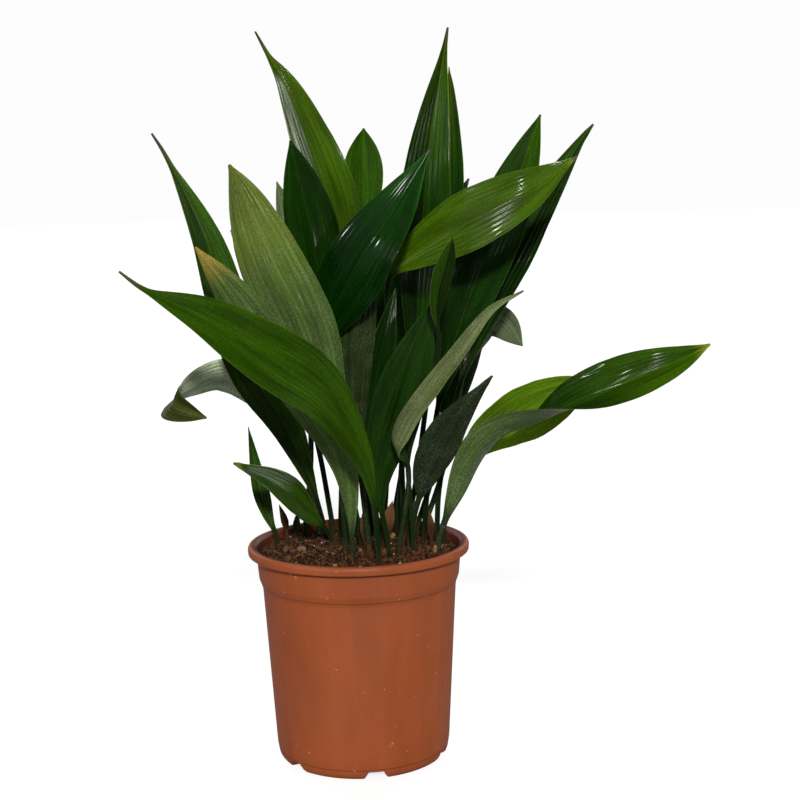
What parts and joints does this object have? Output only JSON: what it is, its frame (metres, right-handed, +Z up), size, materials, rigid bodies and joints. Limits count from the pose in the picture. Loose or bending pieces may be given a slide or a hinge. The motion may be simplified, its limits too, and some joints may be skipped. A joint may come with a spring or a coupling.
{
  "type": "potted cast iron plant",
  "caption": "Cast iron plant with broad lance-shaped leaves on long stems, growing from soil in a round tapered plastic nursery pot.",
  "frame": {"origin": "centre of the whole plant's box, on the surface that the pot's foot ring stands on; the pot's axis stands at x -0.062, y -0.038", "axes": "+Z up along the pot and the leaves, -Y towards the picture's camera, +X to its right"},
  "size_m": [0.5018, 0.4246, 0.6812],
  "materials": {
    "pot": "moulded terracotta coloured plastic, satin",
    "soil": "moist crumbly potting soil with bark chips and white grains",
    "rhizome": "pale fleshy root stock, matte",
    "leaf_bright": "glossy mid green leaf with fine lengthwise veins",
    "leaf_dark": "glossy dark green leaf with fine lengthwise veins",
    "leaf_pale": "satin grey-green underside of the leaf, lightly dusty",
    "sheath": "dry papery brown sheath, matte"
  },
  "bodies": {
    "root": {"pot": "pot", "soil": "soil", "rhizome_far_left": "rhizome", "rhizome_left": "rhizome", "rhizome_middle": "rhizome", "rhizome_centre": "rhizome", "rhizome_right": "rhizome", "rhizome_outer": "rhizome", "rhizome_far_right": "rhizome", "leaf_front_left": "leaf_bright", "leaf_broad_left": "leaf_pale", "leaf_pale_left": "leaf_pale", "leaf_far_left": "leaf_dark", "leaf_curled_left": "leaf_pale", "leaf_spear_left": "leaf_dark", "leaf_small_left": "leaf_bright", "leaf_tall_left": "leaf_bright", "leaf_dark_left": "leaf_dark", "leaf_narrow_back": "leaf_pale", "leaf_short_back": "leaf_bright", "leaf_dark_middle": "leaf_dark", "leaf_bright_right": "leaf_bright", "leaf_folded_middle": "leaf_pale", "leaf_tallest": "leaf_dark", "leaf_tall_back": "leaf_dark", "leaf_back_right": "leaf_dark", "leaf_pleated_right": "leaf_dark", "leaf_small_upright": "leaf_pale", "leaf_middle_front": "leaf_bright", "leaf_crossing_front": "leaf_pale", "leaf_dark_right": "leaf_pale", "leaf_low_right": "leaf_bright", "leaf_far_right": "leaf_bright", "leaf_drooping_right": "leaf_pale", "leaf_narrow_middle": "leaf_dark", "leaf_rear_left": "leaf_dark", "leaf_rear_middle": "leaf_dark", "leaf_rear_right": "leaf_bright", "leaf_rear_outer": "leaf_dark", "leaf_rear_low": "leaf_bright", "leaf_shaded_left": "leaf_dark", "leaf_shaded_right": "leaf_dark", "shoot_left": "leaf_bright", "sheath_left": "sheath", "sheath_front": "sheath", "sheath_middle": "sheath", "sheath_right": "sheath", "sheath_outer": "sheath"}
  },
  "joints": []
}
